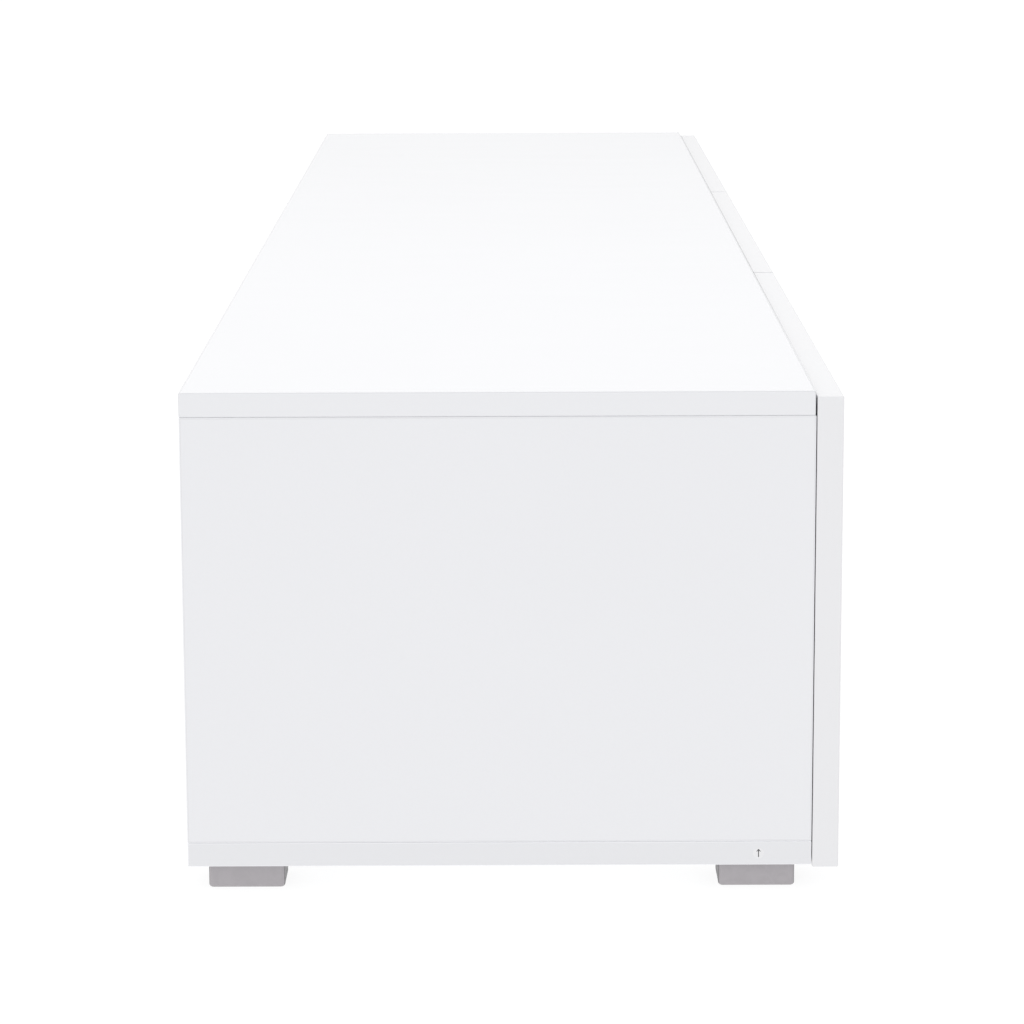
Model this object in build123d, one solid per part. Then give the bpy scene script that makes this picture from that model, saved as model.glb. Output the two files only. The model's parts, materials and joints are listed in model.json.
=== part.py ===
from build123d import *
import math
import os

# TV stand: a white laminated particleboard carcass on six plastic feet, with three doors on
# concealed cup hinges and push-to-open latches.
# Frame: +X along the length, +Z up, the doors face -Y. The origin is on the floor under the
# centre of the whole stand. All sizes are in millimetres.

# ---- Driving dimensions ------------------------------------------------------------------
LENGTH = 1600.0
DEPTH = 400.0                # over the doors
PANEL = 15.0                 # thickness of every carcass panel
SIDE_HEIGHT = 266.0          # side panels, between the top and bottom panels
FOOT_HEIGHT = 16.0
EDGE_ROUNDING = 0.7          # edge band rounding on every panel
TOP_SETBACK = 0.5            # top panel's front edge, behind the side panels' front edges

DOOR_COUNT = 3
DOOR_THICKNESS = 16.0
DOOR_BACK_GAP = 0.5          # between the doors' backs and the carcass
DOOR_SIDE_GAP = 3.0          # between two doors
DOOR_TOP_DROP = 3.5          # door top below the top panel's top
DOOR_BOTTOM_DROP = 1.5       # door bottom below the bottom panel's underside

BACK_THICKNESS = 3.0
BACK_INSET = 12.0            # back panels, in from the carcass's rear edge
BACK_TONGUE = 5.0            # how far a back panel enters its groove
GROOVE_CLEARANCE = 0.2
GROOVE_SPARE_DEPTH = 1.0     # groove beyond the tongue's edge
CABLE_HOLE_RADIUS = 30.0
CABLE_HOLE_HEIGHT = 85.0     # its centre above the inside of the bottom panel

SHELF_SIDE_CLEARANCE = 1.5
SHELF_FRONT_SETBACK = 36.0
SHELF_REAR_GAP = 15.0
PIN_ROW_SPACING = 32.0
PIN_HOLE_DEPTH = 7.0
PIN_RADIUS = 2.5

FOOT_LENGTH = 32.0           # along the stand
FOOT_WIDTH = 47.0            # front to back
FOOT_CORNER = 3.0
FOOT_EDGE = 1.6
FOOT_END_INSET = 8.0
FOOT_FRONT_INSET = 9.5
FOOT_REAR_INSET = 12.0

HOLE_CLEARANCE = 0.05        # radial, between a fastener and its hole
OVERSHOOT = 1.0              # how far a cutting tool starts outside the face that it cuts

# ---- Levels worked out from them ---------------------------------------------------------
END = LENGTH / 2
FRONT = -DEPTH / 2
REAR = DEPTH / 2
DOOR_BACK = FRONT + DOOR_THICKNESS
CARCASS_FRONT = DOOR_BACK + DOOR_BACK_GAP

CARCASS_BOTTOM = FOOT_HEIGHT
INNER_BOTTOM = CARCASS_BOTTOM + PANEL
INNER_TOP = INNER_BOTTOM + SIDE_HEIGHT
TOP = INNER_TOP + PANEL

DOOR_BOTTOM = CARCASS_BOTTOM - DOOR_BOTTOM_DROP
DOOR_TOP = TOP - DOOR_TOP_DROP
DOOR_WIDTH = (LENGTH - (DOOR_COUNT - 1) * DOOR_SIDE_GAP) / DOOR_COUNT

BACK_REAR_FACE = REAR - BACK_INSET
BACK_FRONT_FACE = BACK_REAR_FACE - BACK_THICKNESS
DIVIDER_CENTRE = DOOR_WIDTH / 2 + DOOR_SIDE_GAP / 2
DIVIDER_REAR = BACK_FRONT_FACE - GROOVE_CLEARANCE

# Upright panels: low x, rear edge, and the face that carries the cam locks (+1 or -1 along X).
UPRIGHTS = {
    "left_side_panel": (-END, REAR, +1),
    "left_divider": (-DIVIDER_CENTRE - PANEL / 2, DIVIDER_REAR, -1),
    "right_divider": (DIVIDER_CENTRE - PANEL / 2, DIVIDER_REAR, +1),
    "right_side_panel": (END - PANEL, REAR, -1),
}

# Compartments: low and high x between the uprights' faces.
COMPARTMENTS = {
    "left": (-END + PANEL, -DIVIDER_CENTRE - PANEL / 2),
    "middle": (-DIVIDER_CENTRE + PANEL / 2, DIVIDER_CENTRE - PANEL / 2),
    "right": (DIVIDER_CENTRE + PANEL / 2, END - PANEL),
}

# Doors: low x, hand (+1 hinged at the low x edge, -1 at the high x edge), the upright that
# carries the hinges, and how far its face lies in from the door's hinge-side edge.
HALF_OVERLAY = (PANEL - DOOR_SIDE_GAP) / 2
DOORS = {
    "left": (-END, +1, "left_side_panel", PANEL),
    "middle": (-DOOR_WIDTH / 2, +1, "left_divider", HALF_OVERLAY),
    "right": (END - DOOR_WIDTH, -1, "right_side_panel", PANEL),
}

# The joints between the uprights and the horizontal panels: level and the way to that panel.
PANEL_JOINTS = ((INNER_TOP, +1), (INNER_BOTTOM, -1))

# Cutting tools collected for each panel while the fittings are made.
cuts = {name: [] for name in (*UPRIGHTS, "top_panel", "bottom_panel")}


# ---- Helpers -----------------------------------------------------------------------------
def block(x, y, z):
    """A box from its low and high value along each axis."""
    size = [high - low for low, high in (x, y, z)]
    middle = [(low + high) / 2 for low, high in (x, y, z)]
    return Pos(*middle) * Box(*size)


def board(x, y, z, rounding=EDGE_ROUNDING):
    """A box with every edge slightly rounded."""
    plain = block(x, y, z)
    return fillet(plain.edges(), rounding)


def rod(start, way, radius, length):
    """A cylinder from its start point along a direction."""
    return extrude(Plane(origin=start, z_dir=way) * Circle(radius), length)


def save(node, *shapes):
    """Writes one node as a group of its separate solids."""
    solids = [solid for shape in shapes for solid in shape.solids()]
    export_step(Compound(solids), f"parts/{node}.step")


def horizontal_panel(way):
    """The panel that a joint's way points to."""
    return "top_panel" if way > 0 else "bottom_panel"


# ---- Panel fittings ----------------------------------------------------------------------
CAM_ROWS = (-110.0, 110.0)
CAM_REACH = 24.0             # panel's edge to the cam's centre
CAM_BORE_RADIUS = 7.5
CAM_BORE_DEPTH = 12.5
CAM_RADIUS = 7.4
CAM_THICKNESS = 12.2
CAM_CHANNEL_RADIUS = 3.7
CAM_CHANNEL_LENGTH = 12.0
CAM_CHANNEL_TAIL = 4.0       # channel's blind end beyond the cam's centre
CAM_RECESS = (2.5, 8.0, 1.6)  # depth, length and width of one arm of the cross recess
BOLT_THREAD = (2.5, 11.0)    # radius and length
BOLT_SHANK = (3.4, 16.0)
BOLT_NECK = (2.0, 5.5)
BOLT_HEAD = (3.2, 4.5)

DOWEL_ROWS = (-150.0, 150.0)
DOWEL_RADIUS = 4.0
DOWEL_SHORT_END = 10.0       # in the horizontal panel
DOWEL_LONG_END = 20.0        # in the upright
DOWEL_CHAMFER = 0.8
BLIND_CLEARANCE = 0.5        # free depth at the bottom of a blind hole


def cam_bolt(x, y, level, way):
    """A bolt that stands in the horizontal panel, its shank and head reaching into the upright."""
    bolt = rod((x, y, level), (0, 0, way), *BOLT_THREAD)
    start = level
    for radius, length in (BOLT_SHANK, BOLT_NECK, BOLT_HEAD):
        bolt += rod((x, y, start), (0, 0, -way), radius, length)
        start -= way * length
    return bolt


def cam_lock(face_x, side, y, level, way):
    """A cam housing in an upright's face, with its channel for the bolt's head."""
    centre_z = level - way * CAM_REACH
    cam = rod((face_x, y, centre_z), (-side, 0, 0), CAM_RADIUS, CAM_THICKNESS)
    channel_start = (face_x - side * PANEL / 2, y, centre_z - way * CAM_CHANNEL_TAIL)
    cam -= rod(channel_start, (0, 0, way), CAM_CHANNEL_RADIUS, CAM_CHANNEL_LENGTH)
    depth, length, width = CAM_RECESS
    recess = Box(2 * depth, length, width) + Box(2 * depth, width, length)
    return cam - Pos(face_x, y, centre_z) * recess


def dowel(x, y, level, way):
    """A wooden dowel across a joint, with chamfered ends."""
    start = level - way * DOWEL_LONG_END
    pin = rod((x, y, start), (0, 0, way), DOWEL_RADIUS, DOWEL_LONG_END + DOWEL_SHORT_END)
    ends = pin.edges().filter_by(GeomType.CIRCLE)
    return chamfer(ends, DOWEL_CHAMFER)


def make_panel_fittings():
    """Cam locks, their bolts and dowels at every joint, with their holes."""
    locks, bolts, dowels = [], [], []
    for upright, (low_x, _, side) in UPRIGHTS.items():
        middle_x = low_x + PANEL / 2
        face_x = middle_x + side * PANEL / 2
        for level, way in PANEL_JOINTS:
            flat = horizontal_panel(way)
            for y in CAM_ROWS:
                locks.append(cam_lock(face_x, side, y, level, way))
                bolts.append(cam_bolt(middle_x, y, level, way))
                bore_start = (face_x, y, level - way * CAM_REACH)
                shank_radius, shank_length = BOLT_SHANK
                thread_radius, thread_length = BOLT_THREAD
                joint_point = (middle_x, y, level)
                cuts[upright] += [
                    rod(bore_start, (-side, 0, 0), CAM_BORE_RADIUS, CAM_BORE_DEPTH),
                    rod(joint_point, (0, 0, -way), shank_radius + HOLE_CLEARANCE, CAM_REACH),
                ]
                cuts[flat].append(
                    rod(joint_point, (0, 0, way), thread_radius + HOLE_CLEARANCE,
                        thread_length + BLIND_CLEARANCE)
                )
            for y in DOWEL_ROWS:
                dowels.append(dowel(middle_x, y, level, way))
                hole_radius = DOWEL_RADIUS + HOLE_CLEARANCE
                joint_point = (middle_x, y, level)
                cuts[upright].append(
                    rod(joint_point, (0, 0, -way), hole_radius, DOWEL_LONG_END + BLIND_CLEARANCE)
                )
                cuts[flat].append(
                    rod(joint_point, (0, 0, way), hole_radius, DOWEL_SHORT_END + BLIND_CLEARANCE)
                )
    save("cam_locks", *locks)
    save("cam_bolts", *bolts)
    save("dowels", *dowels)


# ---- Back panels -------------------------------------------------------------------------
BACK_JOINT_GAP = 0.8         # between two back panels, behind a divider
NAIL_OFFSET = 4.0            # from the divider's centre
NAIL_END_INSET = 33.0
NAIL_HEAD = (3.2, 1.0)       # radius and thickness
NAIL_SHANK = (1.0, 20.0)


def make_backs():
    """Three thin back panels in grooves, nailed to the dividers' rear edges."""
    groove_y = (BACK_FRONT_FACE - GROOVE_CLEARANCE, BACK_REAR_FACE + GROOVE_CLEARANCE)
    groove_depth = BACK_TONGUE + GROOVE_SPARE_DEPTH
    inner_end = END - PANEL
    groove_x = (-inner_end - groove_depth, inner_end + groove_depth)
    cuts["top_panel"].append(
        block(groove_x, groove_y, (INNER_TOP - OVERSHOOT, INNER_TOP + groove_depth))
    )
    cuts["bottom_panel"].append(
        block(groove_x, groove_y, (INNER_BOTTOM - groove_depth, INNER_BOTTOM + OVERSHOOT))
    )
    groove_z = (INNER_BOTTOM - OVERSHOOT, INNER_TOP + OVERSHOOT)
    cuts["left_side_panel"].append(
        block((-inner_end - groove_depth, -inner_end + OVERSHOOT), groove_y, groove_z)
    )
    cuts["right_side_panel"].append(
        block((inner_end - OVERSHOOT, inner_end + groove_depth), groove_y, groove_z)
    )

    outer = inner_end + BACK_TONGUE
    seam = BACK_JOINT_GAP / 2
    spans = {
        "left": (-outer, -DIVIDER_CENTRE - seam),
        "middle": (-DIVIDER_CENTRE + seam, DIVIDER_CENTRE - seam),
        "right": (DIVIDER_CENTRE + seam, outer),
    }
    height = (INNER_BOTTOM - BACK_TONGUE, INNER_TOP + BACK_TONGUE)

    nails, nail_holes = [], []
    nail_levels = (
        INNER_BOTTOM + NAIL_END_INSET,
        (INNER_BOTTOM + INNER_TOP) / 2,
        INNER_TOP - NAIL_END_INSET,
    )
    head_radius, head_thickness = NAIL_HEAD
    shank_radius, shank_length = NAIL_SHANK
    for divider, centre in (("left_divider", -DIVIDER_CENTRE), ("right_divider", DIVIDER_CENTRE)):
        for x in (centre - NAIL_OFFSET, centre + NAIL_OFFSET):
            for z in nail_levels:
                start = (x, BACK_REAR_FACE, z)
                head = rod(start, (0, 1, 0), head_radius, head_thickness)
                nails.append(head + rod(start, (0, -1, 0), shank_radius, shank_length))
                hole = rod((x, BACK_REAR_FACE + OVERSHOOT, z), (0, -1, 0),
                           shank_radius + HOLE_CLEARANCE,
                           shank_length + OVERSHOOT + BLIND_CLEARANCE)
                nail_holes.append(hole)
                cuts[divider].append(hole)

    for place, span in spans.items():
        low_x, high_x = COMPARTMENTS[place]
        cable_hole = rod(
            ((low_x + high_x) / 2, BACK_FRONT_FACE - OVERSHOOT, INNER_BOTTOM + CABLE_HOLE_HEIGHT),
            (0, 1, 0), CABLE_HOLE_RADIUS, BACK_THICKNESS + 2 * OVERSHOOT,
        )
        back = block(span, (BACK_FRONT_FACE, BACK_REAR_FACE), height)
        save(f"back_panel_{place}", back - [cable_hole, *nail_holes])
    save("back_nails", *nails)


# ---- Shelves -----------------------------------------------------------------------------
PIN_ROWS = (-115.0, 135.0)
PIN_STEM_LENGTH = 6.5
PIN_COLLAR = (4.0, 1.2)      # radius and thickness
PIN_PEG_LENGTH = 9.0
SHELF_LEVEL = (INNER_BOTTOM + INNER_TOP - PANEL) / 2
CONTACT_GAP = 0.05           # between a shelf and the pins that it rests on


def make_shelves():
    """A shelf in each compartment on four pins, and three heights of pin holes."""
    pins = []
    pin_z = SHELF_LEVEL - PIN_RADIUS - CONTACT_GAP
    walls = {
        "left": ("left_side_panel", "left_divider"),
        "middle": ("left_divider", "right_divider"),
        "right": ("right_divider", "right_side_panel"),
    }
    for place, (low_x, high_x) in COMPARTMENTS.items():
        x = (low_x + SHELF_SIDE_CLEARANCE, high_x - SHELF_SIDE_CLEARANCE)
        y = (CARCASS_FRONT + SHELF_FRONT_SETBACK, BACK_FRONT_FACE - SHELF_REAR_GAP)
        save(f"shelf_{place}", board(x, y, (SHELF_LEVEL, SHELF_LEVEL + PANEL)))
        for wall, face_x, inward in zip(walls[place], (low_x, high_x), (+1, -1)):
            for y_row in PIN_ROWS:
                start = (face_x, y_row, pin_z)
                pins.append(
                    rod(start, (-inward, 0, 0), PIN_RADIUS, PIN_STEM_LENGTH)
                    + rod(start, (inward, 0, 0), *PIN_COLLAR)
                    + rod(start, (inward, 0, 0), PIN_RADIUS, PIN_PEG_LENGTH)
                )
                for step in (-1, 0, 1):
                    hole_z = pin_z + step * PIN_ROW_SPACING
                    cuts[wall].append(
                        rod((face_x, y_row, hole_z), (-inward, 0, 0),
                            PIN_RADIUS + HOLE_CLEARANCE, PIN_HOLE_DEPTH)
                    )
    save("shelf_pins", *pins)


# ---- Feet --------------------------------------------------------------------------------
FOOT_SCREW_SPREAD = 12.0     # each side of the foot's centre, front to back
FOOT_BORE_RADIUS = 4.6
FOOT_BORE_DEPTH = 9.0
FOOT_SCREW_HEAD = (4.0, 2.6)
FOOT_SCREW_SHANK = (1.9, 18.0)


def make_feet():
    """Six moulded feet, each with two screws up into the bottom panel."""
    end_x = END - FOOT_END_INSET - FOOT_LENGTH / 2
    front_y = CARCASS_FRONT + FOOT_FRONT_INSET + FOOT_WIDTH / 2
    rear_y = REAR - FOOT_REAR_INSET - FOOT_WIDTH / 2
    shank_radius, shank_length = FOOT_SCREW_SHANK
    screws = []
    for across, x in (("left", -end_x), ("middle", 0.0), ("right", end_x)):
        for along, y in (("front", front_y), ("rear", rear_y)):
            outline = Pos(x, y) * RectangleRounded(FOOT_LENGTH, FOOT_WIDTH, FOOT_CORNER)
            foot = extrude(outline, FOOT_HEIGHT)
            foot = fillet(foot.faces().sort_by(Axis.Z)[0].edges(), FOOT_EDGE)
            for screw_y in (y - FOOT_SCREW_SPREAD, y + FOOT_SCREW_SPREAD):
                seat = (x, screw_y, FOOT_BORE_DEPTH)
                shank = rod(seat, (0, 0, 1), shank_radius, shank_length)
                screws.append(shank + rod(seat, (0, 0, -1), *FOOT_SCREW_HEAD))
                hole = rod((x, screw_y, 0), (0, 0, 1), shank_radius + HOLE_CLEARANCE,
                           FOOT_BORE_DEPTH + shank_length + BLIND_CLEARANCE)
                foot -= hole + rod((x, screw_y, 0), (0, 0, 1), FOOT_BORE_RADIUS, FOOT_BORE_DEPTH)
                cuts["bottom_panel"].append(hole)
            save(f"foot_{across}_{along}", foot)
    save("foot_screws", *screws)


# ---- Push latches ------------------------------------------------------------------------
LATCH_FROM_EDGE = 42.0       # latch axis in from the door's free edge
LATCH_DROP = 7.5             # latch axis below the top panel's underside
LATCH_BODY = (16.0, 60.0, 13.0)   # width, length and height of the housing
LATCH_FRONT_SETBACK = 5.0
LATCH_WINGS = (36.0, 22.0, 3.0)   # width, length and thickness of the screwed wings
LATCH_WING_SETBACK = 24.0    # wings behind the housing's front
LATCH_BORE_DEPTH = 44.0
LATCH_ROUNDING = 1.5
PLUNGER_RADIUS = 4.1
PLUNGER_LENGTH = 36.0
PLUNGER_FIT = 0.1            # radial running clearance in the housing
PLUNGER_TIP = (5.5, 2.0)     # radius and thickness of the soft tip
PLUNGER_GAP = 0.3            # between the tip and the closed door
LATCH_SCREW_HEAD = (3.4, 2.0)
LATCH_SCREW_SHANK = (1.7, 12.0)


def make_latches():
    """A push-to-open latch under the top panel for each door: housing, plunger and screws."""
    width, length, height = LATCH_BODY
    wing_width, wing_length, wing_thickness = LATCH_WINGS
    shank_radius, shank_length = LATCH_SCREW_SHANK
    front = CARCASS_FRONT + LATCH_FRONT_SETBACK
    axis_z = INNER_TOP - LATCH_DROP
    housings, screws = [], []
    for place, (low_x, hand, _, _) in DOORS.items():
        free_edge = low_x + DOOR_WIDTH if hand > 0 else low_x
        x = free_edge - hand * LATCH_FROM_EDGE
        housing = board((x - width / 2, x + width / 2), (front, front + length),
                        (INNER_TOP - height, INNER_TOP), LATCH_ROUNDING)
        wing_front = front + LATCH_WING_SETBACK
        housing += block((x - wing_width / 2, x + wing_width / 2),
                         (wing_front, wing_front + wing_length),
                         (INNER_TOP - wing_thickness, INNER_TOP))
        housing -= rod((x, front, axis_z), (0, 1, 0), PLUNGER_RADIUS + PLUNGER_FIT,
                       LATCH_BORE_DEPTH)
        tip_y = DOOR_BACK + PLUNGER_GAP
        plunger = rod((x, tip_y, axis_z), (0, 1, 0), PLUNGER_RADIUS, PLUNGER_LENGTH)
        plunger += rod((x, tip_y, axis_z), (0, 1, 0), *PLUNGER_TIP)
        save(f"latch_plunger_{place}", plunger)
        screw_offset = (width + wing_width) / 4
        for screw_x in (x - screw_offset, x + screw_offset):
            seat = (screw_x, wing_front + wing_length / 2, INNER_TOP - wing_thickness)
            screws.append(rod(seat, (0, 0, -1), *LATCH_SCREW_HEAD)
                          + rod(seat, (0, 0, 1), shank_radius, shank_length))
            hole = rod(seat, (0, 0, 1), shank_radius + HOLE_CLEARANCE,
                       shank_length + BLIND_CLEARANCE)
            housing -= hole
            cuts["top_panel"].append(hole)
        housings.append(housing)
    save("latch_housings", *housings)
    save("latch_screws", *screws)


# ---- Concealed hinges --------------------------------------------------------------------
# Each hinge is drawn in its own plan frame: u runs inboard from the door's hinge-side edge, v
# runs back into the cabinet from the carcass's front edges, and z is measured from the hinge's
# middle. The arm's pins A and C stay with the carcass, the cup's pins B and D with the door.
# The outer link joins A to B. The inner link joins D to C, and its eye round C is a slot,
# because it turns at a constant ratio to the door and would otherwise bind.
HINGE_END_INSET = 52.0       # hinge's middle from the inside of the top or bottom panel
PIVOT_A = Vector(39.54, 3.73)
PIVOT_B = Vector(13.79, -2.8)
PIVOT_C = Vector(31.46, -9.4)
PIVOT_D = Vector(16.14, -6.4)
SLOT_CENTRE_ALONG = 0.07   # slot's centre from C, along the line from D to C
SLOT_CENTRE_ACROSS = 0.84   # and across it, which is also half the slot's travel
SLOT_RADIUS = 1.44
LINK_PIN_RADIUS = 1.0        # pins B, C and D
ARM_PIN_RADIUS = 1.25        # pin A

CUP_CENTRE = 22.3            # in from the door's edge
CUP_RADIUS = 17.4
CUP_WALL = 0.8
CUP_DEPTH = 12.4
CUP_NOTCHES = (((34.0, 40.0), 4.0), ((4.0, 9.0), 1.4))   # u range and depth, where arm and links pass
CUP_NOTCH_HALF = 7.0
CUP_EARS = ((17.5, 42.0), (9.0, 27.0), 1.0)   # u range, distance range from the middle, thickness
CUP_EAR_ROUNDING = 3.0
CUP_BORE_CLEARANCE = 0.1
CUP_SCREW = (32.0, 22.5)     # u, and distance from the hinge's middle
CUP_SCREW_HEAD = (3.2, 1.4)
CUP_SCREW_SHANK = (1.6, 11.0)
PIN_B_REACH = (4.2, 14.4)     # inner and outer end of each half pin
PIN_D_REACH = 15.8

INNER_LINK_HALF = 1.9        # half thickness of the single plate in the middle
NOSE_CHEEKS = (2.2, 4.0)     # the arm's nose plates, from the middle
OUTER_LINK_CHEEKS = (4.3, 6.1)
PIN_A_REACH = 6.6
PIN_C_REACH = 4.15
NOSE_TAIL = Vector(29.0, 22.0)
NOSE_RADII = (1.85, 2.0, 2.3)  # round C, round A, and at the tail
OUTER_LINK_RADII = (2.4, 2.0)  # round A and round B
OUTER_LINK_WEB = ((5.0, 12.0), (-3.0, -1.9))  # along the link from A, and across it
INNER_LINK_RADII = (2.0, 2.3)  # round D and round the slot

ARM_WEB = ((30.4, 32.0), (14.0, 62.0), 9.0)    # u range, v range, half height
ARM_CHEEK = ((24.0, 31.0), (7.4, 9.0))         # u range and distance range from the middle
ARM_SCREW_V = 50.0
ARM_SCREW_HEAD = (4.0, 2.0)
ARM_SCREW_SHANK = (2.5, 13.0)
PLATE_THICKNESS = 2.0
PLATE_SPINE = ((14.0, 62.0), 8.0)              # v range and half height
PLATE_WINGS = ((31.0, 43.0), 24.0)
PLATE_BOSS = ((30.0, 60.0), 6.9, 28.0)         # v range, half height and top (u)
PLATE_SCREW = (37.0, 16.0)                     # v, and distance from the hinge's middle
PLATE_SCREW_HEAD = (4.0, 1.8)
PLATE_SCREW_SHANK = (2.2, 13.0)

HINGE_LEVELS = (INNER_BOTTOM + HINGE_END_INSET, INNER_TOP - HINGE_END_INSET)


def strap(low, high, *eyes):
    """A flat plate between two heights: the hull round (point, radius) eyes."""
    circles = [Pos(point.X, point.Y) * Circle(radius) for point, radius in eyes]
    outline = make_hull([edge for circle in circles for edge in circle.edges()])
    return Pos(0, 0, low) * extrude(outline, high - low)


def both_sides(shape):
    """A shape and its mirror image below the hinge's middle."""
    return shape + mirror(shape, about=Plane.XY)


def pin(point, low, high, radius):
    """An upright pin at a pivot point, between two heights."""
    return rod((point.X, point.Y, low), (0, 0, 1), radius, high - low)


def hinge_cup():
    """A round cup with two screwed ears, notched for the arm and drilled across for its pins."""
    back = -DOOR_BACK_GAP
    cup = rod((CUP_CENTRE, back, 0), (0, -1, 0), CUP_RADIUS, CUP_DEPTH)
    (low_u, high_u), (low_z, high_z), thickness = CUP_EARS
    ear = block((low_u, high_u), (back, back + thickness), (low_z, high_z))
    ear = fillet(ear.edges().filter_by(Axis.Y).group_by(Axis.X)[-1], CUP_EAR_ROUNDING)
    cup += both_sides(ear)
    cup -= rod((CUP_CENTRE, back + thickness, 0), (0, -1, 0), CUP_RADIUS - CUP_WALL,
               CUP_DEPTH - CUP_WALL + thickness)
    for notch_u, depth in CUP_NOTCHES:
        cup -= block(notch_u, (back - depth, back), (-CUP_NOTCH_HALF, CUP_NOTCH_HALF))
    for point in (PIVOT_B, PIVOT_D):
        cup -= pin(point, -CUP_RADIUS, CUP_RADIUS, LINK_PIN_RADIUS + HOLE_CLEARANCE)
    screw_u, screw_z = CUP_SCREW
    for z in (-screw_z, screw_z):
        cup -= rod((screw_u, back + thickness, z), (0, -1, 0),
                   CUP_SCREW_SHANK[0] + HOLE_CLEARANCE, thickness)
    return cup


def cup_screws():
    """The two screws that hold a cup to the door."""
    seat = CUP_EARS[2] - DOOR_BACK_GAP
    screw_u, screw_z = CUP_SCREW
    return [
        rod((screw_u, seat, z), (0, 1, 0), *CUP_SCREW_HEAD)
        + rod((screw_u, seat, z), (0, -1, 0), *CUP_SCREW_SHANK)
        for z in (-screw_z, screw_z)
    ]


def cup_cuts():
    """What a door loses to one hinge: the cup's bore and two screw holes."""
    back = -DOOR_BACK_GAP
    seat = CUP_EARS[2] - DOOR_BACK_GAP
    radius, length = CUP_SCREW_SHANK
    screw_u, screw_z = CUP_SCREW
    bore = rod((CUP_CENTRE, back + OVERSHOOT, 0), (0, -1, 0), CUP_RADIUS + CUP_BORE_CLEARANCE,
               CUP_DEPTH + OVERSHOOT + CUP_BORE_CLEARANCE)
    return [bore] + [
        rod((screw_u, seat, z), (0, -1, 0), radius + HOLE_CLEARANCE, length + BLIND_CLEARANCE)
        for z in (-screw_z, screw_z)
    ]


def cup_pins():
    """Pin D right across the cup, and pin B as two halves that leave the middle free."""
    low, high = PIN_B_REACH
    return [
        pin(PIVOT_D, -PIN_D_REACH, PIN_D_REACH, LINK_PIN_RADIUS),
        pin(PIVOT_B, low, high, LINK_PIN_RADIUS),
        pin(PIVOT_B, -high, -low, LINK_PIN_RADIUS),
    ]


def outer_link():
    """Two cheeks from A to B, joined by a web on the side away from the inner link."""
    low, high = OUTER_LINK_CHEEKS
    radius_a, radius_b = OUTER_LINK_RADII
    link = both_sides(strap(low, high, (PIVOT_A, radius_a), (PIVOT_B, radius_b)))
    (start, end), (inner, outer) = OUTER_LINK_WEB
    run = PIVOT_B - PIVOT_A
    turn = math.degrees(math.atan2(run.Y, run.X))
    web = block((start, end), (inner, outer), (-high, high))
    link += Pos(PIVOT_A.X, PIVOT_A.Y) * Rot(0, 0, turn) * web
    reach = high + OVERSHOOT
    link -= pin(PIVOT_A, -reach, reach, ARM_PIN_RADIUS + HOLE_CLEARANCE)
    return link - pin(PIVOT_B, -reach, reach, LINK_PIN_RADIUS + HOLE_CLEARANCE)


def inner_link():
    """One plate from D, with a slot round C."""
    along = (PIVOT_C - PIVOT_D).normalized()
    across = Vector(-along.Y, along.X)
    centre = PIVOT_C + along * SLOT_CENTRE_ALONG + across * SLOT_CENTRE_ACROSS
    ends = (centre - across * SLOT_CENTRE_ACROSS, centre + across * SLOT_CENTRE_ACROSS)
    radius_d, radius_slot = INNER_LINK_RADII
    half = INNER_LINK_HALF
    reach = half + OVERSHOOT
    link = strap(-half, half, (PIVOT_D, radius_d), *((end, radius_slot) for end in ends))
    link -= strap(-reach, reach, *((end, SLOT_RADIUS) for end in ends))
    return link - pin(PIVOT_D, -reach, reach, LINK_PIN_RADIUS + HOLE_CLEARANCE)


def hinge_arm():
    """Nose plates that hold pins C and A, run back into a channel over the mounting plate."""
    low, high = NOSE_CHEEKS
    round_c, round_a, round_tail = NOSE_RADII
    nose = strap(low, high, (PIVOT_C, round_c), (PIVOT_A, round_a))
    nose += strap(low, high, (PIVOT_A, round_a), (NOSE_TAIL, round_tail))
    web_u, web_v, half_height = ARM_WEB
    cheek_u, (cheek_low, cheek_high) = ARM_CHEEK
    arm = both_sides(nose + block(cheek_u, web_v, (cheek_low, cheek_high)))
    arm += block(web_u, web_v, (-half_height, half_height))
    reach = high + OVERSHOOT
    arm -= pin(PIVOT_A, -reach, reach, ARM_PIN_RADIUS + HOLE_CLEARANCE)
    arm -= pin(PIVOT_C, -reach, reach, LINK_PIN_RADIUS + HOLE_CLEARANCE)
    web_low, web_high = web_u
    return arm - rod((web_high + OVERSHOOT, ARM_SCREW_V, 0), (-1, 0, 0),
                     ARM_SCREW_SHANK[0] + HOLE_CLEARANCE, web_high - web_low + 2 * OVERSHOOT)


def arm_pins():
    """Pins A and C in the arm's nose."""
    return [
        pin(PIVOT_A, -PIN_A_REACH, PIN_A_REACH, ARM_PIN_RADIUS),
        pin(PIVOT_C, -PIN_C_REACH, PIN_C_REACH, LINK_PIN_RADIUS),
    ]


def arm_screw():
    """The screw that clamps the arm to its mounting plate."""
    seat = (ARM_WEB[0][1], ARM_SCREW_V, 0)
    return rod(seat, (1, 0, 0), *ARM_SCREW_HEAD) + rod(seat, (-1, 0, 0), *ARM_SCREW_SHANK)


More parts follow.
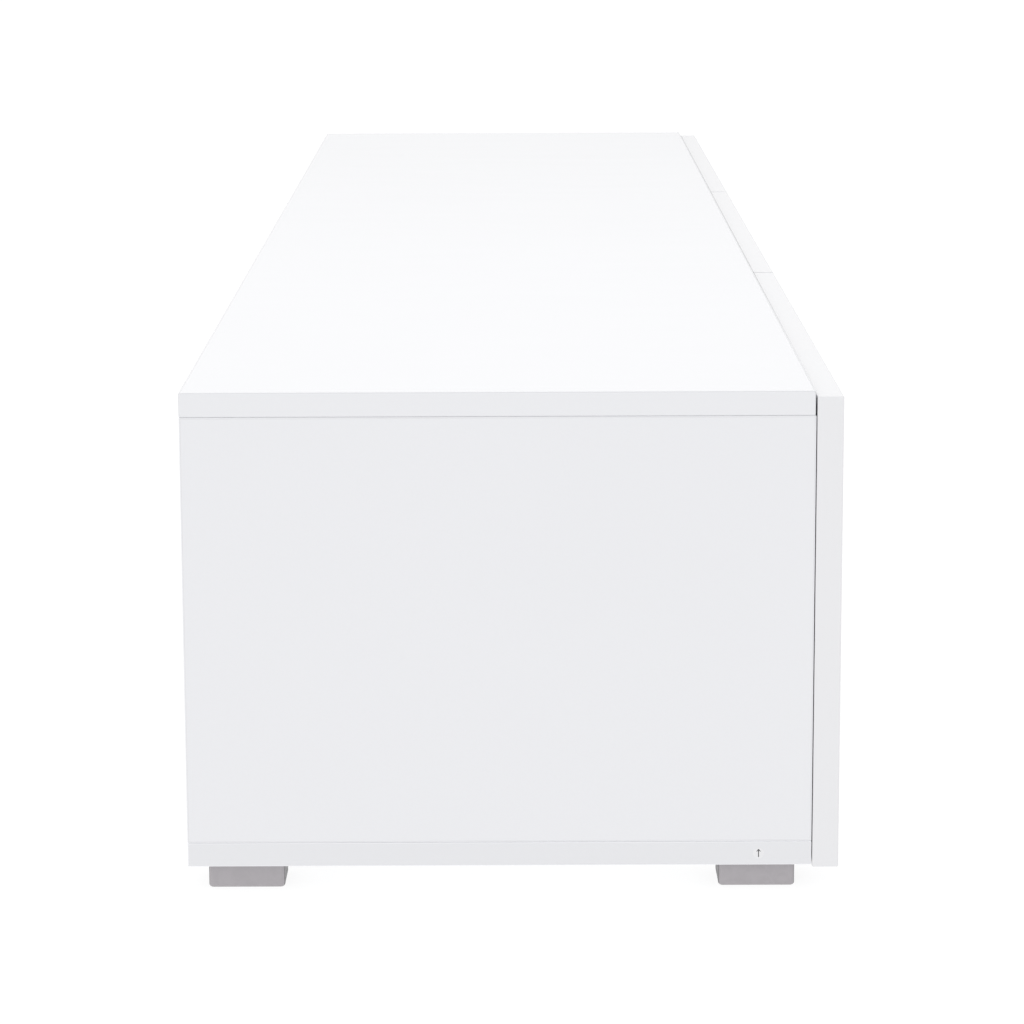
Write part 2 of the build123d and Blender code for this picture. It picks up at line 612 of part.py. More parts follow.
def mounting_plate(base):
    """A cruciform plate on the upright's face, with a boss under the arm."""
    top = base + PLATE_THICKNESS
    spine_v, spine_half = PLATE_SPINE
    wing_v, wing_half = PLATE_WINGS
    boss_v, boss_half, boss_top = PLATE_BOSS
    plate = block((base, top), spine_v, (-spine_half, spine_half))
    plate += block((base, top), wing_v, (-wing_half, wing_half))
    plate += block((base, boss_top), boss_v, (-boss_half, boss_half))
    arm_radius, arm_length = ARM_SCREW_SHANK
    depth = arm_length + BLIND_CLEARANCE - (ARM_WEB[0][1] - boss_top)
    plate -= rod((boss_top, ARM_SCREW_V, 0), (-1, 0, 0), arm_radius + HOLE_CLEARANCE, depth)
    screw_v, screw_z = PLATE_SCREW
    for z in (-screw_z, screw_z):
        plate -= rod((top, screw_v, z), (-1, 0, 0), PLATE_SCREW_SHANK[0] + HOLE_CLEARANCE,
                     PLATE_THICKNESS)
    return plate


def plate_screws(base):
    """The two screws that hold a mounting plate to the upright."""
    screw_v, screw_z = PLATE_SCREW
    seat = base + PLATE_THICKNESS
    return [
        rod((seat, screw_v, z), (1, 0, 0), *PLATE_SCREW_HEAD)
        + rod((seat, screw_v, z), (-1, 0, 0), *PLATE_SCREW_SHANK)
        for z in (-screw_z, screw_z)
    ]


def plate_cuts(base):
    """The two screw holes in the upright."""
    radius, length = PLATE_SCREW_SHANK
    screw_v, screw_z = PLATE_SCREW
    return [
        rod((base + PLATE_THICKNESS, screw_v, z), (-1, 0, 0), radius + HOLE_CLEARANCE,
            length + BLIND_CLEARANCE)
        for z in (-screw_z, screw_z)
    ]


# ---- Doors -------------------------------------------------------------------------------
BUMPER_RADIUS = 4.0
BUMPER_FROM_FREE_EDGE = 30.0
BUMPER_FREE_GAP = 0.1        # between a bumper and the carcass when the door is closed


def bumpers(free_x, hand):
    """Two soft dots on a door's back, one against each horizontal panel's front edge."""
    x = free_x - hand * BUMPER_FROM_FREE_EDGE
    top_z = (INNER_TOP + DOOR_TOP) / 2
    bottom_z = (CARCASS_BOTTOM + INNER_BOTTOM) / 2
    return [
        rod((x, DOOR_BACK, z), (0, 1, 0), BUMPER_RADIUS, gap - BUMPER_FREE_GAP)
        for z, gap in ((top_z, DOOR_BACK_GAP + TOP_SETBACK), (bottom_z, DOOR_BACK_GAP))
    ]


def make_doors():
    """Each door with its two hinges, and the hinge parts that stay with the carcass."""
    arms, pins, screws, plates, fixings = [], [], [], [], []
    for place, (low_x, hand, upright, base) in DOORS.items():
        hinge_x, free_x = low_x, low_x + DOOR_WIDTH
        if hand < 0:
            hinge_x, free_x = free_x, hinge_x

        def at_hinges(*shapes):
            """Copies hinge-frame shapes to both hinges of this door."""
            turned = [mirror(s, about=Plane.YZ) if hand < 0 else s for s in shapes]
            return [Pos(hinge_x, CARCASS_FRONT, z) * s for z in HINGE_LEVELS for s in turned]

        door = board((low_x, low_x + DOOR_WIDTH), (FRONT, DOOR_BACK), (DOOR_BOTTOM, DOOR_TOP))
        save(f"door_{place}", door - at_hinges(*cup_cuts()))
        save(f"hinge_cups_{place}", *at_hinges(hinge_cup()))
        save(f"cup_screws_{place}", *at_hinges(*cup_screws()))
        save(f"cup_pins_{place}", *at_hinges(*cup_pins()))
        save(f"outer_links_{place}", *at_hinges(outer_link()))
        save(f"inner_links_{place}", *at_hinges(inner_link()))
        save(f"bumpers_{place}", *bumpers(free_x, hand))
        arms += at_hinges(hinge_arm())
        pins += at_hinges(*arm_pins())
        screws += at_hinges(arm_screw())
        plates += at_hinges(mounting_plate(base))
        fixings += at_hinges(*plate_screws(base))
        cuts[upright] += at_hinges(*plate_cuts(base))
    save("hinge_arms", *arms)
    save("arm_pins", *pins)
    save("arm_screws", *screws)
    save("mounting_plates", *plates)
    save("plate_screws", *fixings)


# ---- Carcass panels, cut for everything above --------------------------------------------
def make_panels():
    """The top and bottom panels and the four uprights, with their holes and grooves."""
    length = (-END, END)
    top = board(length, (CARCASS_FRONT + TOP_SETBACK, REAR), (INNER_TOP, TOP))
    bottom = board(length, (CARCASS_FRONT, REAR), (CARCASS_BOTTOM, INNER_BOTTOM))
    save("top_panel", top - cuts["top_panel"])
    save("bottom_panel", bottom - cuts["bottom_panel"])
    for name, (low_x, rear, _) in UPRIGHTS.items():
        upright = board((low_x, low_x + PANEL), (CARCASS_FRONT, rear), (INNER_BOTTOM, INNER_TOP))
        save(name, upright - cuts[name])


os.makedirs("parts", exist_ok=True)
make_panel_fittings()
make_backs()
make_shelves()
make_feet()
make_latches()
make_doors()
make_panels()
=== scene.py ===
import json
import math

import bmesh
import bpy
from mathutils import Euler, Matrix, Vector


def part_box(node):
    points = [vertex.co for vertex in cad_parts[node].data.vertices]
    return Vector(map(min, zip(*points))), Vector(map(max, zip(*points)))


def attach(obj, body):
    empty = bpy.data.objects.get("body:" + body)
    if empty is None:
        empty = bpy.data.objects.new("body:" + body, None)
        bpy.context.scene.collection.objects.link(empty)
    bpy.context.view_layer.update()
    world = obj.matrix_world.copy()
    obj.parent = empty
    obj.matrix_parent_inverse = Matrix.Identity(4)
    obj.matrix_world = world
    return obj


# White gloss TV stand with three doors. Every CAD part keeps its mesh and gets a procedural
# material. Object coordinates are the shared frame in metres, so texture sizes are real sizes.

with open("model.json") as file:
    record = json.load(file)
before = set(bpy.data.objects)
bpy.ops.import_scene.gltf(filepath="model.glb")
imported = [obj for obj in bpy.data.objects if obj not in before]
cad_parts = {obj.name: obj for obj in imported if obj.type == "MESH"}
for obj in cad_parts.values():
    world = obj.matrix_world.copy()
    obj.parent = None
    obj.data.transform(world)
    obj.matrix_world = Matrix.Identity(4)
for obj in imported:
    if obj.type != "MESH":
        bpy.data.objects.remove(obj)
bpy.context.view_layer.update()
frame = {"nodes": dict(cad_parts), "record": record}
nodes = frame["nodes"]
slot_of = {part["node"]: part["material_slot"] for part in frame["record"]["subparts"]}

MM = 0.001
FLAT_PANELS = ("top_panel", "bottom_panel", "shelf_left", "shelf_middle", "shelf_right")
UPRIGHT_PANELS = ("left_side_panel", "right_side_panel", "left_divider", "right_divider")
DOOR_PANELS = ("door_left", "door_middle", "door_right")

WHITE_LAMINATE = (0.819, 0.823, 0.846)
DOOR_WHITE = (0.813, 0.813, 0.830)
SHELF_WHITE = (0.830, 0.835, 0.855)
BOARD_WHITE = (0.80, 0.80, 0.79)
BOARD_BACK = (0.66, 0.63, 0.58)
FOOT_GREY = (0.412, 0.392, 0.410)
NICKEL = (0.72, 0.70, 0.67)
CAST_ZINC = (0.60, 0.61, 0.63)
ZINC_PLATE = (0.66, 0.67, 0.70)
BEECH = (0.60, 0.42, 0.25)
LATCH_GREY = (0.68, 0.69, 0.70)
PLUNGER_GREY = (0.40, 0.41, 0.43)
GEL_WHITE = (0.86, 0.88, 0.88)


# ---- Node helpers ------------------------------------------------------------------------
class Shader:
    """A principled material under construction."""

    def __init__(self, name, colour, roughness, metallic=0.0):
        self.material = bpy.data.materials.new(name)
        self.material.use_nodes = True
        self.material.diffuse_color = (*colour, 1)
        self.tree = self.material.node_tree
        self.bsdf = self.tree.nodes["Principled BSDF"]
        self.set("Base Color", (*colour, 1))
        self.set("Roughness", roughness)
        self.set("Metallic", metallic)
        self.coordinates = self.node("ShaderNodeTexCoord").outputs["Object"]
        self.last_bump = None

    def node(self, kind, **settings):
        made = self.tree.nodes.new(kind)
        for name, value in settings.items():
            setattr(made, name, value)
        return made

    def feed(self, socket, value):
        """Links an output to a socket, or sets a plain value on it."""
        if isinstance(value, bpy.types.NodeSocket):
            self.tree.links.new(value, socket)
        else:
            socket.default_value = value

    def set(self, name, value):
        self.feed(self.bsdf.inputs[name], value)

    def math(self, operation, *values):
        made = self.node("ShaderNodeMath", operation=operation)
        for socket, value in zip(made.inputs, values):
            self.feed(socket, value)
        return made.outputs[0]

    def place(self, stretch, shift=(0, 0, 0)):
        """Object coordinates, scaled along each axis, for grain and brush marks."""
        made = self.node("ShaderNodeMapping")
        self.feed(made.inputs["Vector"], self.coordinates)
        made.inputs["Scale"].default_value = stretch
        made.inputs["Location"].default_value = shift
        return made.outputs[0]

    def noise(self, size, detail=3.0, roughness=0.55, vector=None, distortion=0.0):
        """Noise whose features are about size metres across."""
        made = self.node("ShaderNodeTexNoise")
        self.feed(made.inputs["Vector"], vector or self.coordinates)
        made.inputs["Scale"].default_value = 1 / size
        made.inputs["Detail"].default_value = detail
        made.inputs["Roughness"].default_value = roughness
        made.inputs["Distortion"].default_value = distortion
        return made.outputs[0]

    def cells(self, size):
        """Cells about size metres across, as the distance from their middles."""
        made = self.node("ShaderNodeTexVoronoi", feature="F1")
        self.feed(made.inputs["Vector"], self.coordinates)
        made.inputs["Scale"].default_value = 1 / size
        return made.outputs["Distance"]

    def remap(self, value, low, high, to_low=0.0, to_high=1.0):
        """Passes smoothly from to_low to to_high as the value goes from low to high."""
        made = self.node("ShaderNodeMapRange", interpolation_type="SMOOTHSTEP")
        for name, given in (("Value", value), ("From Min", low), ("From Max", high),
                            ("To Min", to_low), ("To Max", to_high)):
            self.feed(made.inputs[name], given)
        return made.outputs["Result"]

    def mix(self, share, first, second):
        """Blends two colours."""
        made = self.node("ShaderNodeMix", data_type="RGBA")
        self.feed(made.inputs["Factor"], share)
        for socket, colour in ((made.inputs[6], first), (made.inputs[7], second)):
            self.feed(socket, (*colour, 1) if isinstance(colour, tuple) else colour)
        return made.outputs[2]

    def axes(self):
        """The x, y and z of the object coordinates."""
        made = self.node("ShaderNodeSeparateXYZ")
        self.feed(made.inputs[0], self.coordinates)
        return made.outputs

    def facing(self, axis):
        """How far the surface faces along one axis of its own frame, from -1 to 1."""
        made = self.node("ShaderNodeSeparateXYZ")
        self.feed(made.inputs[0], self.node("ShaderNodeTexCoord").outputs["Normal"])
        return made.outputs[axis]

    def bump(self, height, depth):
        """Adds relief of a real depth on top of the relief so far."""
        made = self.node("ShaderNodeBump")
        made.inputs["Strength"].default_value = 1.0
        made.inputs["Distance"].default_value = depth
        self.feed(made.inputs["Height"], height)
        if self.last_bump:
            self.feed(made.inputs["Normal"], self.last_bump)
        self.last_bump = made.outputs[0]
        self.set("Normal", self.last_bump)


def scaled(colour, factor):
    return tuple(min(1.0, channel * factor) for channel in colour)


# ---- Materials ---------------------------------------------------------------------------
# A SPAN is the pair of noise or facing values between which a pattern sets in, and a SIZE is how
# large its features are. A TONE multiplies the material's colour, and a SHARE is how much of that
# tone shows. A ROUGHNESS pair is added to the material's own roughness unless a comment says not.
EVEN_SPAN = (0.3, 0.7)
UPWARD_SPAN = (0.5, 0.9)
BLACK = (0.0, 0.0, 0.0)

BAND_WIDTH = 0.9 * MM        # edge band thickness, seen on the board's faces
BAND_TONE = 0.988
BAND_SHARE = 0.6
BAND_DULLNESS = 0.05         # roughness that the band adds
SEAM_WIDTH = 0.07 * MM
SEAM_TONE = 0.86
SEAM_DEPTH = 0.03 * MM
ARRIS_CORE = 0.15 * MM       # the painted light on the rounded edges is full up to here
ARRIS_WIDTH = 0.75 * MM      # and gone from here
GAP_LINE = (0.8 * MM, 1.3 * MM)  # a shade line painted on the doors' top, measured from the inner face
GAP_FROM, GAP_TO = -0.76, -0.20  # x over which that line darkens
GAP_SHADES = (0.0, 0.58)     # its share of black, from the left end to there
DOOR_TOP_PAINTED_SHADE = 0.015       # painted shade: share of black on the doors' upper edge

CLOUD_SIZE = 0.22            # slow drift of the tone across a panel
CLOUD_TONES = (0.996, 1.002)
MOTTLE_SIZE = 1.4 * MM
MOTTLE_SPAN = (0.35, 0.75)
MOTTLE_SHARE = 0.35
MOTTLE_TONE = 0.982
SMEAR_SIZE = 0.045           # long soft changes of the gloss
SMEAR_STRETCH = (1.0, 0.35, 1.0)
SMEAR_SPAN = (0.35, 0.72)
SMEAR_ROUGHNESS = (-0.002, 0.004)
FINE_SIZE = 0.7 * MM
FINE_ROUGHNESS = (-0.004, 0.004)
PEEL_SIZE = 2.6 * MM         # the lacquer's faint waviness
FINE_PEEL_SIZE = 0.45 * MM
FINE_PEEL_SHARE = 0.18
COAT_WEIGHT = 0.15
COAT_ROUGHNESS = 0.09


def laminate(name, box, thin_axis, colour, roughness, peel, arris_painted_light):
    """Smooth melamine faces with an edge band: a hairline seam just inside every banded edge."""
    shader = Shader(name, colour, roughness)
    low, high = box
    axes = shader.axes()
    depths = []
    for axis in range(3):
        middle = (low[axis] + high[axis]) / 2
        half = (high[axis] - low[axis]) / 2
        off_centre = shader.math("ABSOLUTE", shader.math("SUBTRACT", axes[axis], middle))
        depths.append(shader.math("SUBTRACT", half, off_centre))
    nearest = shader.math("MINIMUM", *(depths[axis] for axis in range(3) if axis != thin_axis))
    seam = shader.math("COMPARE", nearest, BAND_WIDTH, SEAM_WIDTH)
    band = shader.math("LESS_THAN", nearest, BAND_WIDTH)
    lesser = shader.math("MINIMUM", depths[0], depths[1])
    greater = shader.math("MAXIMUM", depths[0], depths[1])
    second = shader.math("MAXIMUM", lesser, shader.math("MINIMUM", greater, depths[2]))
    # the rounded edges, where the painted light and shade go
    edge = shader.remap(second, ARRIS_CORE, ARRIS_WIDTH, 1.0, 0.0)

    clouds = shader.noise(CLOUD_SIZE, detail=2.0)
    mottle = shader.noise(MOTTLE_SIZE, detail=2.0)
    cloudy = (scaled(colour, tone) for tone in CLOUD_TONES)
    mottled = shader.remap(mottle, *MOTTLE_SPAN, 0.0, MOTTLE_SHARE)
    tone = shader.mix(shader.remap(clouds, *EVEN_SPAN), *cloudy)
    tone = shader.mix(mottled, tone, scaled(colour, MOTTLE_TONE))
    tone = shader.mix(shader.math("MULTIPLY", band, BAND_SHARE), tone, scaled(colour, BAND_TONE))
    tone = shader.mix(seam, tone, scaled(colour, SEAM_TONE))
    # painted light on the rounded edges: a painted highlight or painted shade, by panel
    tone = shader.mix(edge, tone, scaled(colour, arris_painted_light))
    if name in DOOR_PANELS:
        near, far = GAP_LINE
        inset = shader.math("SUBTRACT", high[1], axes[1])
        inner = shader.math("COMPARE", inset, (near + far) / 2, (far - near) / 2)
        upward = shader.remap(shader.facing(2), *UPWARD_SPAN)
        shade = shader.remap(axes[0], GAP_FROM, GAP_TO, *GAP_SHADES)
        line = shader.math("MULTIPLY", shader.math("MULTIPLY", inner, upward), shade)
        # painted shade on the doors' upper edge, then the painted shade line of the gap
        tone = shader.mix(shader.math("MULTIPLY", upward, DOOR_TOP_PAINTED_SHADE), tone, BLACK)
        tone = shader.mix(line, tone, BLACK)
    shader.set("Base Color", tone)

    smears = shader.noise(
        SMEAR_SIZE, detail=4.0, vector=shader.place(stretch=SMEAR_STRETCH), distortion=0.6)
    smeared = (roughness + change for change in SMEAR_ROUGHNESS)
    gloss = shader.math(
        "ADD",
        shader.remap(smears, *SMEAR_SPAN, *smeared),
        shader.remap(shader.noise(FINE_SIZE, detail=1.0), *EVEN_SPAN, *FINE_ROUGHNESS),
    )
    dulled = shader.math("MULTIPLY", band, BAND_DULLNESS)
    shader.set("Roughness", shader.math("ADD", gloss, dulled))
    shader.set("Coat Weight", COAT_WEIGHT)
    shader.set("Coat Roughness", COAT_ROUGHNESS)
    shader.bump(shader.noise(PEEL_SIZE, detail=2.0), peel)
    shader.bump(shader.noise(FINE_PEEL_SIZE, detail=2.0), peel * FINE_PEEL_SHARE)
    shader.bump(shader.math("SUBTRACT", 1.0, seam), SEAM_DEPTH)
    return shader.material


BOARD_ROUGHNESS = 0.5
REAR_SPAN = (0.2, 0.6)
REAR_ROUGHNESS = (0.38, 0.72)   # not added: of the lacquered face and of the back
REAR_RELIEF = (0.25, 1.0)
FIBRE_SIZE = 1.1 * MM
FIBRE_STRETCH = (0.35, 1, 1)
FIBRE_SPAN = (0.35, 0.65)
FIBRE_TONE = 0.86
FIBRE_DEPTH = 0.12 * MM
FLECK_SIZE = 3.5 * MM
FACE_FLECKS = (0.4, 0.7, 0, 0.5)    # a span, then the shares at its two ends
FACE_FLECK_TONE = 0.96
REAR_FLECKS = (0.55, 0.75, 0, 0.45)
REAR_FLECK_TONE = 1.12
RIDGE_PITCH = 1.3 * MM
RIDGE_DEPTH = 0.02 * MM


def hardboard(name):
    """A lacquered face towards the compartments and a pressed mesh texture at the back."""
    shader = Shader(name, BOARD_WHITE, BOARD_ROUGHNESS)
    rear = shader.remap(shader.facing(1), *REAR_SPAN)
    fibres = shader.noise(
        FIBRE_SIZE, detail=5.0, roughness=0.7, vector=shader.place(stretch=FIBRE_STRETCH))
    flecks = shader.noise(FLECK_SIZE, detail=4.0, roughness=0.6)
    flecked = shader.remap(flecks, *FACE_FLECKS)
    face = shader.mix(flecked, BOARD_WHITE, scaled(BOARD_WHITE, FACE_FLECK_TONE))
    fibrous = shader.remap(fibres, *FIBRE_SPAN)
    raw = shader.mix(fibrous, scaled(BOARD_BACK, FIBRE_TONE), BOARD_BACK)
    raw = shader.mix(shader.remap(flecks, *REAR_FLECKS), raw, scaled(BOARD_BACK, REAR_FLECK_TONE))
    shader.set("Base Color", shader.mix(rear, face, raw))
    shader.set("Roughness", shader.remap(shader.facing(1), *REAR_SPAN, *REAR_ROUGHNESS))
    relief = shader.remap(shader.facing(1), *REAR_SPAN, *REAR_RELIEF)
    shader.bump(shader.math("MULTIPLY", fibres, relief), FIBRE_DEPTH)
    for axis in (0, 2):
        phase = shader.math("MULTIPLY", shader.axes()[axis], 2 * math.pi / RIDGE_PITCH)
        shader.bump(shader.math("MULTIPLY", shader.math("SINE", phase), rear), RIDGE_DEPTH)
    return shader.material


FLOW_SIZE = 9 * MM
FLOW_TONES = (0.965, 1.03)
FLOW_SPAN = (0.25, 0.75)
FLOW_ROUGHNESS = (-0.06, 0.08)
SPECK_SIZE = 0.5 * MM
SPECKS = (0.55, 0.8, 0, 0.5)    # a span, then the shares at its two ends
SPECK_TONE = 0.9
# painted shade on the faces that turn along y or down: where it sets in and its tone
PAINTED_SHADE_SPAN = (0.75, 0.98)
PAINTED_SHADE_TONE = 0.1
SWELL_SIZE = 3 * MM
MOULD_GRAIN = 0.35 * MM
MOULD_DEPTH = 0.012 * MM
PLASTIC_SPECULAR = 0.45


def moulded_plastic(name, colour, roughness, painted_side_shade=0.0):
    """Spark-eroded mould texture, flow marks and faint tone variation. A side shade is painted shade:
    it darkens the faces that turn along y or down."""
    shader = Shader(name, colour, roughness)
    flow = shader.noise(FLOW_SIZE, detail=4.0, distortion=1.2)
    speck = shader.noise(SPECK_SIZE, detail=2.0)
    flowing = (scaled(colour, tone) for tone in FLOW_TONES)
    tone = shader.mix(shader.remap(flow, *EVEN_SPAN), *flowing)
    tone = shader.mix(shader.remap(speck, *SPECKS), tone, scaled(colour, SPECK_TONE))
    # painted shade on the faces that turn along y or down
    if painted_side_shade:
        sideways = shader.math("ABSOLUTE", shader.facing(1))
        downward = shader.math("MULTIPLY", shader.facing(2), -1.0)
        either = shader.math("MAXIMUM", sideways, downward)
        painted_shade = shader.remap(either, *PAINTED_SHADE_SPAN, 0, painted_side_shade)
        tone = shader.mix(painted_shade, tone, scaled(colour, PAINTED_SHADE_TONE))
    shader.set("Base Color", tone)
    uneven = (roughness + change for change in FLOW_ROUGHNESS)
    shader.set("Roughness", shader.remap(flow, *FLOW_SPAN, *uneven))
    shader.bump(shader.noise(SWELL_SIZE, detail=2.0), MOULD_DEPTH * 2)
    shader.bump(shader.noise(MOULD_GRAIN, detail=3.0), MOULD_DEPTH)
    shader.set("Specular IOR Level", PLASTIC_SPECULAR)
    return shader.material


DRAW_SIZE = 0.5 * MM
DRAW_STRETCH = (1.0, 1.0, 0.12)
DRAW_ROUGHNESS = (-0.08, 0.1)
DRAW_DEPTH = 0.003 * MM
PLATING_SIZE = 6 * MM
PLATING_TONE = 0.9
PLATING_ROUGHNESS = (-0.03, 0.05)
PIT_SIZE = 1.1 * MM
PIT_DEPTH = 0.0015 * MM


def plated_steel(name, colour, roughness, stretch=DRAW_STRETCH):
    """Rolled and stamped steel under a thin plating: draw lines, clouding and fine pits."""
    shader = Shader(name, colour, roughness, metallic=1.0)
    lines = shader.noise(DRAW_SIZE, detail=4.0, roughness=0.6, vector=shader.place(stretch=stretch))
    clouds = shader.noise(PLATING_SIZE, detail=3.0)
    cloudy = shader.remap(clouds, *EVEN_SPAN)
    shader.set("Base Color", shader.mix(cloudy, scaled(colour, PLATING_TONE), colour))
    drawn = (roughness + change for change in DRAW_ROUGHNESS)
    shader.set("Roughness", shader.math(
        "ADD",
        shader.remap(lines, *EVEN_SPAN, *drawn),
        shader.remap(clouds, *EVEN_SPAN, *PLATING_ROUGHNESS),
    ))
    shader.bump(lines, DRAW_DEPTH)
    shader.bump(shader.cells(PIT_SIZE), PIT_DEPTH)
    return shader.material


SKIN_SIZE = 1.6 * MM
SKIN_TONES = (0.82, 1.06)
SKIN_ROUGHNESS = (-0.08, 0.12)
SKIN_DEPTH = 0.011 * MM
CAST_PIT_SIZE = 2.2 * MM
CAST_PIT_SPAN = (0.0, 0.18)
CAST_PIT_DEPTH = 0.008 * MM


def cast_metal(name, colour, roughness):
    """Die-cast zinc: a soft orange skin with small pits and dull patches."""
    shader = Shader(name, colour, roughness, metallic=1.0)
    skin = shader.noise(SKIN_SIZE, detail=4.0)
    pits = shader.remap(shader.cells(CAST_PIT_SIZE), *CAST_PIT_SPAN)
    patchy = (scaled(colour, tone) for tone in SKIN_TONES)
    shader.set("Base Color", shader.mix(shader.remap(skin, *EVEN_SPAN), *patchy))
    uneven = (roughness + change for change in SKIN_ROUGHNESS)
    shader.set("Roughness", shader.remap(skin, *EVEN_SPAN, *uneven))
    shader.bump(skin, SKIN_DEPTH)
    shader.bump(pits, CAST_PIT_DEPTH)
    return shader.material


BEECH_ROUGHNESS = 0.62
WOOD_FIBRE_SIZE = 0.6 * MM
WOOD_FIBRE_STRETCH = (1, 1, 0.06)
WOOD_FIBRE_TONES = (0.8, 1.12)
WOOD_FIBRE_DEPTH = 0.05 * MM
RAY_SIZE = 0.9 * MM
RAY_STRETCH = (1, 1, 0.25)
RAY_SHIFT = (1, 2, 3)        # keeps the rays' noise apart from the fibres'
RAY_SPAN = (0.6, 0.72)
RAY_TONE = 0.6


def beech(name):
    """Raw beech: long fibres with short dark rays, along z."""
    shader = Shader(name, BEECH, BEECH_ROUGHNESS)
    fibres = shader.noise(
        WOOD_FIBRE_SIZE, detail=5.0, roughness=0.65, vector=shader.place(stretch=WOOD_FIBRE_STRETCH))
    rays = shader.noise(
        RAY_SIZE, detail=2.0, vector=shader.place(stretch=RAY_STRETCH, shift=RAY_SHIFT))
    fibrous = (scaled(BEECH, tone) for tone in WOOD_FIBRE_TONES)
    tone = shader.mix(shader.remap(fibres, *EVEN_SPAN), *fibrous)
    tone = shader.mix(shader.remap(rays, *RAY_SPAN), tone, scaled(BEECH, RAY_TONE))
    shader.set("Base Color", tone)
    shader.bump(fibres, WOOD_FIBRE_DEPTH)
    return shader.material


GEL_ROUGHNESS = 0.28
HAZE_SIZE = 1.2 * MM
HAZE_TONE = 0.94
HAZE_ROUGHNESS = (0.2, 0.36)  # not added
GEL_TRANSMISSION = 0.55
GEL_IOR = 1.48
BUBBLE_SIZE = 0.8 * MM
BUBBLE_DEPTH = 0.01 * MM


def soft_gel(name):
    """Clear soft polyurethane with a faint haze and tiny bubbles."""
    shader = Shader(name, GEL_WHITE, GEL_ROUGHNESS)
    haze = shader.noise(HAZE_SIZE, detail=3.0)
    hazy = shader.remap(haze, *EVEN_SPAN)
    shader.set("Base Color", shader.mix(hazy, scaled(GEL_WHITE, HAZE_TONE), GEL_WHITE))
    shader.set("Roughness", shader.remap(haze, *EVEN_SPAN, *HAZE_ROUGHNESS))
    shader.set("Transmission Weight", GEL_TRANSMISSION)
    shader.set("IOR", GEL_IOR)
    shader.bump(shader.cells(BUBBLE_SIZE), BUBBLE_DEPTH)
    return shader.material


# Tones of single panels and of their rounded edges, set so that the render's brightness is the
# photograph's.
PANEL_TONE = {"bottom_panel": 0.962}
# Painted light on the rounded edges: a painted highlight on the bottom panel's, painted shade on the
# top panel's and a fainter painted shade on most others'.
ARRIS_PAINTED_LIGHT = {"bottom_panel": 1.18, "top_panel": 0.86, "left_side_panel": 1.0}
PLAIN_ARRIS_PAINTED_SHADE = 0.97
# share of painted shade on the feet's faces that turn along y or down
FOOT_PAINTED_SIDE_SHADE = 0.75
UNSTRETCHED = (1, 1, 1)
PIN_STRETCH = (0.2, 1, 1)
# Colour, roughness and depth of the waviness.
LAMINATES = {
    "panel_laminate": (WHITE_LAMINATE, 0.24, 0.0015 * MM),
    "door_laminate": (DOOR_WHITE, 0.20, 0.0015 * MM),
    "shelf_laminate": (SHELF_WHITE, 0.34, 0.002 * MM),
}
thin_axis_of = {
    **{name: 2 for name in FLAT_PANELS},
    **{name: 0 for name in UPRIGHT_PANELS},
    **{name: 1 for name in DOOR_PANELS},
}

shared = {
    "back_board": hardboard("back_board"),
    "foot_plastic": moulded_plastic("foot_plastic", FOOT_GREY, 0.42, painted_side_shade=FOOT_PAINTED_SIDE_SHADE),
    "hinge_steel": plated_steel("hinge_steel", NICKEL, 0.26),
    "plate_zinc": cast_metal("plate_zinc", ZINC_PLATE, 0.36),
    "cam_zinc": cast_metal("cam_zinc", CAST_ZINC, 0.48),
    "screw_steel": plated_steel("screw_steel", ZINC_PLATE, 0.3, stretch=UNSTRETCHED),
    "pin_nickel": plated_steel("pin_nickel", NICKEL, 0.22, stretch=PIN_STRETCH),
    "dowel_wood": beech("dowel_wood"),
    "latch_plastic": moulded_plastic("latch_plastic", LATCH_GREY, 0.4),
    "plunger_plastic": moulded_plastic("plunger_plastic", PLUNGER_GREY, 0.32),
    "bumper_gel": soft_gel("bumper_gel"),
}


def dress(piece, material):
    piece.data.materials.clear()
    piece.data.materials.append(material)


for name, piece in nodes.items():
    slot = slot_of[name]
    if slot in LAMINATES:
        colour, roughness, peel = LAMINATES[slot]
        tone = scaled(colour, PANEL_TONE.get(name, 1.0))
        # painted highlight or painted shade on this panel's rounded edges
        arris_painted_light = ARRIS_PAINTED_LIGHT.get(name, PLAIN_ARRIS_PAINTED_SHADE)
        dress(piece, laminate(name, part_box(name), thin_axis_of[name], tone, roughness, peel, arris_painted_light))
    else:
        dress(piece, shared[slot])


# ---- Assembly label on the bottom panel's left end -----------------------------------------
LABEL_RADIUS = 3.4 * MM
LABEL_THICKNESS = 0.08 * MM
LABEL_SINK = 0.04 * MM
LABEL_FROM_FRONT = 32.5 * MM
LABEL_SEGMENTS = 64
LABEL_PAPER = (0.83, 0.83, 0.845)
LABEL_INK = (0.05, 0.05, 0.055)
MARK_HALF_WIDTH = 0.28 * MM
MARK_HALF_HEIGHT = 2.5 * MM
MARK_HEAD_HEIGHT = 1.5 * MM
MARK_HEAD_SLOPE = 0.75
LABEL_ROUGHNESS = 0.6
LABEL_STRAIGHT_SHARE = 0.7   # of the thickness, before the rim narrows
LABEL_FACE_SHARE = 0.985     # of the radius, where the face begins
PAPER_FIBRE_SIZE = 0.3 * MM
PAPER_FIBRE_DEPTH = 0.01 * MM
PAPER_SPAN = (0.35, 0.7)
PAPER_TONE = 0.965
WORN_INK = (0.62, 0.7, 1.0, 0.55)  # a span, then how much ink is left at its two ends


